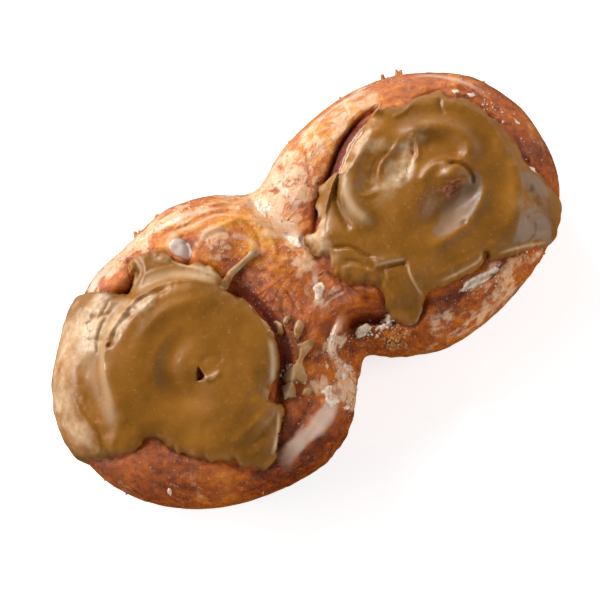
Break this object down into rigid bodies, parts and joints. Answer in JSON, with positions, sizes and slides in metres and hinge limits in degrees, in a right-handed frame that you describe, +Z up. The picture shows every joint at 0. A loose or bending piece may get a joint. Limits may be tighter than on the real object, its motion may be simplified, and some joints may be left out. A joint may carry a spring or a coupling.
{
  "type": "bowtie pastry",
  "caption": "Fried yeast pastry rolled into two joined coils with cinnamon between the turns, thin sugar glaze and thick maple icing draped over each coil; rests flat.",
  "frame": {"origin": "centre of the pastry's bounding box in plan, on the surface that it rests on", "axes": "+X runs along the pastry through both coils, toward the picture's upper right; +Y runs across it, toward the picture's upper left; +Z is up, out of the iced side"},
  "size_m": [0.1569, 0.0826, 0.0391],
  "materials": {
    "fried_dough": "golden to red-brown fried crust under a thin cracked sugar glaze, semi-gloss",
    "cinnamon_filling": "dark red-brown cinnamon and sugar paste, moist",
    "maple_icing": "smooth tan icing, set, with a soft gloss"
  },
  "bodies": {
    "root": {"dough": "fried_dough", "cinnamon_filling_left": "cinnamon_filling", "cinnamon_filling_right": "cinnamon_filling", "maple_icing_left": "maple_icing", "maple_icing_right": "maple_icing", "icing_scrap": "maple_icing"}
  },
  "joints": []
}
